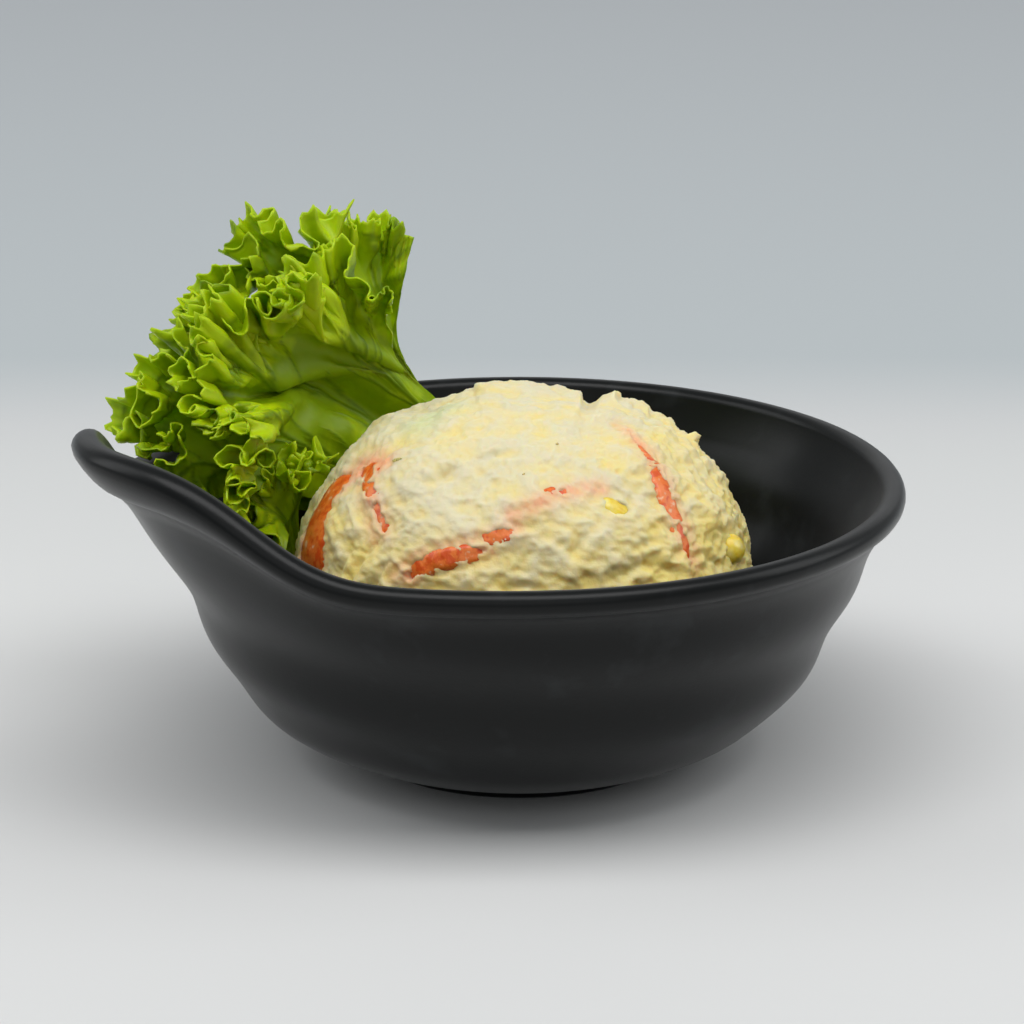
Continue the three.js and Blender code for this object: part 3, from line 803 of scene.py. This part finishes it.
SLICE_PROUD = 0.1
SLICE_UNDER_MASH = 1.3
SLICE_SQUARENESS = 5
SLICE_ROUGHNESS = 0.22
SLICE_BUMPS = 2.4
ROUND_STEPS = 28
LONG_STEPS = 90
for name, carrot in CARROTS.items():
    line = on_scoop(carrot["path"], PATH_STEPS)
    out = scoop_outward(line)
    forward = np.gradient(line, axis=0)
    across = np.cross(out, forward)
    across /= np.linalg.norm(across, axis=1, keepdims=True)
    bm = bmesh.new()
    bmesh.ops.create_uvsphere(bm, u_segments=ROUND_STEPS, v_segments=LONG_STEPS, radius=1)
    sphere = np.array([vert.co for vert in bm.verts])
    share = np.arccos(np.clip(sphere[:, 2], -1, 1)) / math.pi
    spin = np.arctan2(sphere[:, 1], sphere[:, 0])
    at = share * (PATH_STEPS - 1)
    i = np.minimum(at.astype(int), PATH_STEPS - 2)
    f = (at - i)[:, None]
    centre = line[i] * (1 - f) + line[i + 1] * f
    up = out[i] * (1 - f) + out[i + 1] * f
    side = across[i] * (1 - f) + across[i + 1] * f
    taper = slice_taper(share)
    square = np.abs(np.cos(spin)) ** SLICE_SQUARENESS + np.abs(np.sin(spin)) ** SLICE_SQUARENESS
    square = square ** (-1 / SLICE_SQUARENESS)
    half_width = (slice_width(carrot, share) / 2 + SLICE_UNDER_MASH * taper) * square
    half_depth = carrot["depth"] / 2 * taper * square
    points = centre + side * (half_width * np.cos(spin))[:, None]
    points += up * (half_depth * np.sin(spin) + SLICE_PROUD - carrot["depth"] / 2)[:, None]
    points += up * (SLICE_ROUGHNESS * rough(points, SLICE_BUMPS, 3, seed=12) * taper)[:, None]
    points -= up * ((half_width * np.cos(spin)) ** 2 / (2 * SCOOP_RADIUS))[:, None]
    for vert, place in zip(bm.verts, points):
        vert.co = place
    bmesh.ops.recalc_face_normals(bm, faces=bm.faces)
    piece = finished(bm, name.replace("carrot", "boiled_carrot"), material, SERVED_TURN)
    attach(piece, "root")
    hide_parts(name)


# ---- The sweet corn ---------------------------------------------------------------------------
# Two tinned kernels in the surface: plump wedges with a dimpled crown, coated in dressing.

# Sweet corn skin: a tight, glossy yellow hull over paler flesh, which light enters a little.
CORN_YELLOW = 0xF3D648
CORN_PALE = 0xF6E590
CORN_DEEP = 0xE6BE2A
HULL_WIDTH = 2.2
material, tree, shader = new_material("sweet_corn_hull")
coords = add(tree, "TexCoord").outputs["Object"]
cloud = add(tree, "TexNoise", {"Scale": 1 / (HULL_WIDTH * MM), "Detail": 3.0}, {"Vector": coords})
hull = ramp(tree, cloud.outputs["Fac"], [(0.35, CORN_DEEP), (0.5, CORN_YELLOW), (0.7, CORN_PALE)])
tree.links.new(hull, shader.inputs["Base Color"])
shader.inputs["Roughness"].default_value = 0.28
shader.inputs["Subsurface Weight"].default_value = 0.3
shader.inputs["Subsurface Radius"].default_value = (1.0, 0.7, 0.15)
shader.inputs["Subsurface Scale"].default_value = 0.001

# The taper and the dimple's place are shares of a kernel's size, and the depths are in mm
KERNEL_TAPER = 0.45
DIMPLE = {"depth": 0.1, "half_width": 0.22, "half_length": 0.25, "along": 0.1}
WRINKLE_HEIGHT = 0.12
WRINKLE_COUNT = 5
for name, kernel in KERNELS.items():
    place, across, along, out = kernel_axes(kernel)
    bm = bmesh.new()
    bmesh.ops.create_icosphere(bm, subdivisions=5, radius=0.5)
    for vert in bm.verts:
        u, v, w = vert.co
        narrowing = 1 + KERNEL_TAPER * v
        from_dimple = (u / DIMPLE["half_width"]) ** 2
        from_dimple += ((v - DIMPLE["along"]) / DIMPLE["half_length"]) ** 2
        dimple = DIMPLE["depth"] * math.exp(-from_dimple) if w > 0 else 0
        wrinkle = WRINKLE_HEIGHT * noise.fractal(vert.co * WRINKLE_COUNT, 0.9, 2.1, 3)
        u *= kernel["width"] * narrowing
        v *= kernel["length"]
        w = w * kernel["thickness"] * narrowing - dimple + wrinkle
        w += kernel["proud"] - kernel["thickness"] / 2
        vert.co = place + across * u + along * v + out * w
    piece = finished(bm, name.replace("corn", "sweet_corn"), material, SERVED_TURN)
    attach(piece, "root")
    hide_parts(name)


# ---- The lettuce ------------------------------------------------------------------------------
# Three pieces torn from a curly green lettuce. The margin of each leaf grew far longer than its
# base, so it stands in ruffles within ruffles, down to small pointed teeth.

LEAVES = {
    "lettuce_leaf_front": {
        "base": [(82, 42, 29), (87, 42, 21), (93, 42, 13)],
        "middle": [(113, 42, 52), (124, 42, 53), (136, 42.5, 51.5), (147, 43, 46.5), (156, 43, 39)],
        "margin": [
            (144, 38, 73), (158, 38, 78), (169, 41, 78), (176, 45, 75), (182, 48, 70),
            (187, 51, 64), (190, 52, 58), (194, 51, 54), (198, 49.5, 48.5), (202, 47, 41.5),
        ],
        "folds": [
            {"at": 0.16, "width": 0.13, "height": -2},
            {"at": 0.44, "width": 0.1, "height": 3.5},
            {"at": 0.68, "width": 0.13, "height": -2},
        ],
        "columns": 800, "rows": 60, "veins": 3, "seed": 3,
    },
    "lettuce_leaf_back": {
        "base": [(86, 45, 26), (88, 44.5, 22), (90, 43.8, 18.5)],
        "middle": [(114, 47, 54), (124, 48, 62), (137, 49.5, 58), (150, 50.5, 48), (158, 50, 37)],
        "margin": [
            (125, 45, 78), (130, 48, 83.5), (135, 50.5, 86), (142, 53.5, 86.5), (150, 59.5, 82.5),
            (152.5, 56, 75), (158.5, 60.5, 72.5), (162, 60, 68), (167, 65, 64.5), (172, 67, 58),
            (176, 63, 52), (181, 56, 46),
        ],
        "folds": [{"at": 0.3, "width": 0.1, "height": -2}, {"at": 0.6, "width": 0.1, "height": 2}],
        "columns": 840, "rows": 58, "veins": 4, "seed": 11,
    },
    "lettuce_curl": {
        "base": [(157, 42, 25), (163, 42, 21)],
        "middle": [(158, 41, 38), (169, 41.5, 34)],
        "margin": [
            (158, 39.2, 48), (166, 39.6, 48.5), (174, 41, 46), (181, 42.5, 41.5), (186, 43, 35),
        ],
        "folds": [],
        "columns": 320, "rows": 40, "veins": 2, "seed": 5,
    },
}
# Each season of growth: the columns and rows of points that a full leaf has by then, how long
# its margin gets against its base and from which share of the way out, the height in mm and the
# spread of the chance bumps that its ruffles start from, and how little it may bend
SEASONS = [
    {"columns": 42, "rows": 16, "growth": 1.3, "start": 0.42,
     "bump": 1.5, "spread": 3, "stiff": 0.96},
    {"columns": 112, "rows": 28, "growth": 2.1, "start": 0.58,
     "bump": 0.6, "spread": 2, "stiff": 0.94},
    {"columns": 250, "rows": 42, "growth": 3.6, "start": 0.68,
     "bump": 0.4, "spread": 2, "stiff": 0.9},
    {"columns": 540, "rows": 60, "growth": 6.6, "start": 0.78,
     "bump": 0.3, "spread": 2, "stiff": 0.84},
]
FULL_COLUMNS = 820
FEWEST_COLUMNS = 10
SEASON_ROUNDS = 80
MOMENTUM = 0.85
GROWTH_CHANCE = 0.25
ROW_STIFFNESS = 0.98
# The base stays on its guide up to here, and the margin is free from there on
HOLD_FROM = 0.3
HOLD_TO = 0.6
HOLD_STRENGTH = 0.5
SIDE_SHARE = 0.13
# Between these shares of the way out the calm base gives way to the ruffles
CALM_FROM = 0.45
CALM_TO = 0.8
CALM_SHARE = 0.96
LEAF_THICKNESS = 0.3
WALL_CLEARANCE = 0.6
RIM_RELEASE = 40
RIM_RELEASE_HEIGHT = 5
TOOTH_ROWS = 6
TOOTH_APART = (1.6, 4.4)
TOOTH_HEIGHT = (0.7, 3.3)
TOOTH_WIDTH = (0.8, 1.6)
TALL_TEETH_RARITY = 1.6
TOOTH_SHARPNESS = 1.4
TOOTH_FADE = 1.5
# Veins run in shares of the way out. A side vein leaves at these steps and leans by these shares.
VEIN_STEPS = 60
VEIN_LENGTH = 0.95
VEIN_WIDTH = 1.4
VEIN_TAPER = 0.7
VEIN_LEAN = 0.04
VEIN_WANDER = 0.03
VEIN_STRAIGHTENING = 0.97
BRANCH_FIRST = (0.05, 0.12)
BRANCH_APART = (0.06, 0.12)
BRANCH_LEAN = (0.35, 0.7)
BRANCH_LENGTH = (0.16, 0.32)
BRANCH_WIDTH = 0.75
BRANCHES_END = 0.93
VEIN_PUFF = 0.35
VEIN_PUFF_WIDTH = 2.4
VEIN_DEPTH = 0.2
BLISTER_WIDTH = 6
BLISTER_HEIGHT = 0.7
PUFF_FROM = 0.12
PUFF_TO = 0.5


def row_shares(rows):
    """How far out each row of points lies, with the rows closer together towards the margin."""
    even = np.linspace(0, 1, rows)
    return even * (1.5 - 0.5 * even)


def leaf_guide(leaf, columns, rows):
    """The unruffled leaf: a fan of points from its base line through its middle to its margin."""
    lines = [curve_through(leaf[line], columns) for line in ("base", "middle", "margin")]
    out = row_shares(rows)[None, :, None]
    shares = ((1 - out) * (1 - 2 * out), 4 * out * (1 - out), out * (2 * out - 1))
    polar = sum(line[:, None] * share for line, share in zip(lines, shares))
    around = np.radians(polar[..., 0])
    radius = polar[..., 1]
    share = np.linspace(0, 1, columns)[:, None]
    for fold in leaf["folds"]:
        bell = np.exp(-(((share - fold["at"]) / fold["width"]) ** 2))
        radius = radius + fold["height"] * bell * smooth(out[..., 0], 0.15, 0.6)
    return np.stack([radius * np.cos(around), radius * np.sin(around), polar[..., 2]], -1)


def refined(grid, columns, rows):
    """The same sheet with more points, on smooth curves through the ones it had."""
    def along(points, count):
        flat = points.reshape(len(points), -1)
        return curve_through(flat, count).reshape(count, *points.shape[1:])
    grid = along(grid, columns)
    return np.swapaxes(along(np.swapaxes(grid, 0, 1), rows), 0, 1)


def blurred(field, width, axis):
    """A field blurred over that number of points along one axis."""
    reach = np.arange(-3 * width, 3 * width + 1)
    kernel = np.exp(-0.5 * (reach / width) ** 2)
    pad = [(0, 0)] * field.ndim
    pad[axis] = (3 * width, 3 * width)
    wide = np.pad(field, pad, mode="reflect" if field.shape[axis] > 3 * width else "edge")
    return np.apply_along_axis(np.convolve, axis, wide, kernel / kernel.sum(), "valid")


def chance(rng, shape, *widths):
    """An even random field, blurred over a number of points along each axis."""
    field = rng.standard_normal(shape)
    for axis, width in enumerate(widths):
        field = blurred(field, width, axis)
    return field / field.std()


def sheet_normals(grid):
    """The directions straight off the sheet at each of its points."""
    across = np.cross(np.gradient(grid, axis=0), np.gradient(grid, axis=1))
    return across / np.maximum(np.linalg.norm(across, axis=-1, keepdims=True), 1e-9)


def pulled(points, first, second, length, stiffness, only_short=False):
    """Moves two sets of neighbours towards their natural distance, or only apart if too close."""
    step = points[second] - points[first]
    now = np.sqrt((step ** 2).sum(-1)) + 1e-9
    error = now - length
    if only_short:
        error = np.minimum(error, 0)
    move = (0.5 * stiffness * error / now)[..., None] * step
    points[first] += move
    points[second] -= move


def inside_the_bowl(points):
    """Keeps the points clear of the bowl's wall and lip, by moving them towards its axis."""
    radius = np.hypot(points[..., 0], points[..., 1])
    height = points[..., 2]
    wall = CONE_RADIUS + CONE_SLOPE * (height - WALL_UP) - WALL_ACROSS
    limit = np.minimum(wall, LIP_ACROSS - LIP_RADIUS) - WALL_CLEARANCE
    limit = limit + RIM_RELEASE * smooth(height, RIM_HEIGHT, RIM_HEIGHT + RIM_RELEASE_HEIGHT)
    share = np.minimum(1, limit / np.maximum(radius, 1e-6))
    points[..., 0] *= share
    points[..., 1] *= share


def grown(points, guide, season, rng):
    """Lets the sheet's margin grow longer than its base, and settle in ruffles."""
    columns, rows = guide.shape[:2]
    out = row_shares(rows)
    more = (season["growth"] - 1) * smooth(out, season["start"], 1.0)[None]
    side = np.linspace(0, 1, columns)
    more = more * smooth(np.minimum(side, 1 - side), 0, SIDE_SHARE)[:, None]
    growth = 1 + more * (1 + GROWTH_CHANCE * chance(rng, (columns, 1), 3))
    growth = np.maximum(growth, 1)
    across = np.linalg.norm(np.diff(guide, axis=0), axis=-1) * 0.5 * (growth[1:] + growth[:-1])
    outwards = np.linalg.norm(np.diff(guide, axis=1), axis=-1)
    slanted = np.sqrt((0.5 * (across[:, 1:] + across[:, :-1])) ** 2
                      + (0.5 * (outwards[1:] + outwards[:-1])) ** 2)
    bumps = chance(rng, (columns, rows), season["spread"], max(1, rows // 6))
    bumps *= season["bump"] * smooth(out, season["start"] - 0.1, 1.0)[None]
    points = points + sheet_normals(points) * bumps[..., None]
    hold = HOLD_STRENGTH * (1 - smooth(out, HOLD_FROM, HOLD_TO))[None, :, None]
    speed = np.zeros_like(points)
    for _ in range(SEASON_ROUNDS):
        before = points.copy()
        points = points + MOMENTUM * speed
        for k in (0, 1):
            pulled(points, np.s_[k:columns - 1:2], np.s_[k + 1:columns:2], across[k::2], 1.0)
        for k in (0, 1):
            pulled(points, np.s_[:, k:rows - 1:2], np.s_[:, k + 1:rows:2], outwards[:, k::2], 1.0)
        for k in (0, 1):
            here, there = slice(k, columns - 1, 2), slice(k + 1, columns, 2)
            pulled(points, np.s_[here, :-1], np.s_[there, 1:], slanted[k::2], 0.5)
            pulled(points, np.s_[here, 1:], np.s_[there, :-1], slanted[k::2], 0.5)
        for k in range(4):
            length = season["stiff"] * (across[k:columns - 2:4] + across[k + 1:columns - 1:4])
            pulled(points, np.s_[k:columns - 2:4], np.s_[k + 2:columns:4], length, 0.6, True)
        for k in range(4):
            length = ROW_STIFFNESS * (outwards[:, k:rows - 2:4] + outwards[:, k + 1:rows - 1:4])
            pulled(points, np.s_[:, k:rows - 2:4], np.s_[:, k + 2:rows:4], length, 0.6, True)
        points += hold * (guide - points)
        inside_the_bowl(points)
        speed = points - before
    return points


def toothed(sheet, rng):
    """Draws the margin out in irregular pointed teeth, with small bays between them."""
    columns, rows = sheet.shape[:2]
    edge = sheet[:, -1]
    steps = np.linalg.norm(np.diff(edge, axis=0), axis=-1)
    along = np.concatenate([[0], np.cumsum(steps)])
    reach = np.zeros(columns)
    place = 0.0
    while place < along[-1]:
        place += rng.uniform(*TOOTH_APART)
        tall = rng.random() ** TALL_TEETH_RARITY
        height = TOOTH_HEIGHT[0] + (TOOTH_HEIGHT[1] - TOOTH_HEIGHT[0]) * tall
        near = np.abs(along - place) / (rng.uniform(*TOOTH_WIDTH) * (0.6 + 0.4 * height))
        reach = np.maximum(reach, height * np.maximum(0, 1 - near) ** TOOTH_SHARPNESS)
    outward = edge - sheet[:, -TOOTH_ROWS]
    outward /= np.maximum(np.linalg.norm(outward, axis=-1, keepdims=True), 1e-9)
    for back in range(TOOTH_ROWS):
        share = ((TOOTH_ROWS - back) / TOOTH_ROWS) ** TOOTH_FADE
        sheet[:, rows - 1 - back] += outward * (reach * share)[:, None]


def vein_places(leaf, guide, rng):
    """Points along the leaf's veins, with their widths. Main veins fan out and branch."""
    columns, rows = guide.shape[:2]
    places, widths = [], []

    def vein(share, out, drift, length, width, order):
        count = int(VEIN_STEPS * length) + 4
        lean = drift
        next_branch = out + rng.uniform(*BRANCH_FIRST)
        side = rng.choice([-1, 1])
        for i in range(count):
            part = i / (count - 1)
            place = guide[int(np.clip(share, 0, 1) * (columns - 1)),
                          int(np.clip(out, 0, 1) * (rows - 1))]
            places.append(place)
            widths.append(width * (1 - VEIN_TAPER * part))
            step = length / (count - 1)
            out += step
            share += lean * step
            lean = lean * VEIN_STRAIGHTENING + rng.normal(0, VEIN_WANDER)
            if order and next_branch < out < BRANCHES_END:
                vein(share, out, lean + side * rng.uniform(*BRANCH_LEAN),
                     rng.uniform(*BRANCH_LENGTH) * (1.1 - 0.5 * part), BRANCH_WIDTH * width,
                     order - 1)
                side = -side
                next_branch = out + rng.uniform(*BRANCH_APART)

    for i in range(leaf["veins"]):
        vein((i + 0.5) / leaf["veins"], 0.02, rng.normal(0, VEIN_LEAN), VEIN_LENGTH, VEIN_WIDTH, 1)
    return places, widths


def blisters(guide, seed):
    """The soft swellings of a lettuce blade, at each point of the leaf."""
    height = rough(guide.reshape(-1, 3), BLISTER_WIDTH, 2, seed=seed)
    return height.reshape(guide.shape[:2])


def leaf_sheet(leaf):
    """The leaf's points, and how close each one is to a vein, which fades towards the base."""
    rng = np.random.default_rng(leaf["seed"])
    scale = leaf["columns"] / FULL_COLUMNS
    first = SEASONS[0]
    sheet = leaf_guide(leaf, max(FEWEST_COLUMNS, int(first["columns"] * scale)), first["rows"])
    for season in SEASONS:
        columns = max(FEWEST_COLUMNS, int(season["columns"] * scale))
        guide = leaf_guide(leaf, columns, season["rows"])
        sheet = grown(refined(sheet, columns, season["rows"]), guide, season, rng)
    sheet = refined(sheet, leaf["columns"], leaf["rows"])
    guide = leaf_guide(leaf, leaf["columns"], leaf["rows"])
    calm = 1 - smooth(row_shares(leaf["rows"]), CALM_FROM, CALM_TO)[None, :, None]
    sheet += CALM_SHARE * calm * (guide - sheet)
    toothed(sheet, rng)
    places, widths = vein_places(leaf, guide, rng)
    tree = kdtree.KDTree(len(places))
    for i, place in enumerate(places):
        tree.insert(place, i)
    tree.balance()
    vein = np.zeros(sheet.shape[:2])
    apart = np.zeros(sheet.shape[:2])
    for i in range(leaf["columns"]):
        for j in range(leaf["rows"]):
            _, nearest, distance = tree.find(guide[i, j])
            vein[i, j] = math.exp(-((distance / (0.5 * widths[nearest])) ** 2))
            apart[i, j] = distance
    free = smooth(row_shares(leaf["rows"]), PUFF_FROM, PUFF_TO)[None]
    puff = VEIN_PUFF * (1 - np.exp(-((apart / VEIN_PUFF_WIDTH) ** 2))) - VEIN_DEPTH * vein
    puff = free * (puff + BLISTER_HEIGHT * blisters(guide, leaf["seed"]))
    sheet += sheet_normals(sheet) * puff[..., None]
    return sheet, vein * free


# Fresh lettuce: a thin waxy leaf that light enters. Its margin is painted a brighter yellow-green,
# a painted glow of that light. It is pale towards its base and darker along its veins, and shines
# softly on its ruffles.
LEAF_PALE = 0xC6D25E
LEAF_BRIGHT = 0xAFC704
LEAF_MIDDLE = 0x8CA802
LEAF_DEEP = 0x5C7A06
BLADE_WIDTH = 7
CELL_WIDTH = 0.8
CELL_HEIGHT = 0.06
material, tree, shader = new_material("curly_lettuce_leaf")
colour = add(tree, "Attribute", {"attribute_name": "leaf"}).outputs["Color"]
parts = add(tree, "SeparateColor", links={0: colour})
coords = add(tree, "TexCoord").outputs["Object"]
cloud = add(tree, "TexNoise", {"Scale": 1 / (BLADE_WIDTH * MM), "Detail": 3.0}, {"Vector": coords})
patchy = add(tree, "MapRange",
             {"From Min": 0.3, "From Max": 0.7, "To Min": -0.25, "To Max": 0.25},
             {"Value": cloud.outputs["Fac"]})
tone = add(tree, "Math", {"operation": "ADD"}, {0: parts.outputs["Green"], 1: patchy.outputs[0]})
# The margin's bright stop is a painted glow of the light shining through the leaf.
blade = ramp(tree, tone.outputs[0], [
    (0.0, LEAF_PALE), (0.2, LEAF_BRIGHT), (0.45, LEAF_MIDDLE), (0.78, LEAF_MIDDLE),
    (0.92, LEAF_BRIGHT),
])
line = add(tree, "Math", {"operation": "MULTIPLY", 1: 0.75}, {0: parts.outputs["Red"]})
veined = add(tree, "MixRGB", {"Color2": linear(LEAF_DEEP)},
             {"Fac": line.outputs[0], "Color1": blade})
tree.links.new(veined.outputs[0], shader.inputs["Base Color"])
shader.inputs["Roughness"].default_value = 0.42
shader.inputs["Specular IOR Level"].default_value = 0.3
shader.inputs["Subsurface Weight"].default_value = 0.4
shader.inputs["Subsurface Radius"].default_value = (0.5, 1.0, 0.1)
shader.inputs["Subsurface Scale"].default_value = 0.0007
bumpy_skin(tree, shader, coords, CELL_WIDTH, CELL_HEIGHT, 0.5, 3.0)

for name, leaf in LEAVES.items():
    sheet, vein = leaf_sheet(leaf)
    columns, rows = leaf["columns"], leaf["rows"]
    bm = bmesh.new()
    bmesh.ops.create_grid(bm, x_segments=columns - 1, y_segments=rows - 1, size=1)
    paint = bm.verts.layers.float_color.new("leaf")
    shares = row_shares(rows)
    for vert in bm.verts:
        i = round((vert.co.x + 1) / 2 * (columns - 1))
        j = round((vert.co.y + 1) / 2 * (rows - 1))
        vert.co = sheet[i, j]
        vert[paint] = (vein[i, j], shares[j], 0, 1)
    piece = finished(bm, name.replace("lettuce", "curly"), material, SERVED_TURN)
    wall = piece.modifiers.new("leaf_thickness", "SOLIDIFY")
    wall.thickness = LEAF_THICKNESS * MM
    wall.offset = 0
    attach(piece, "root")
    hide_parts(name)
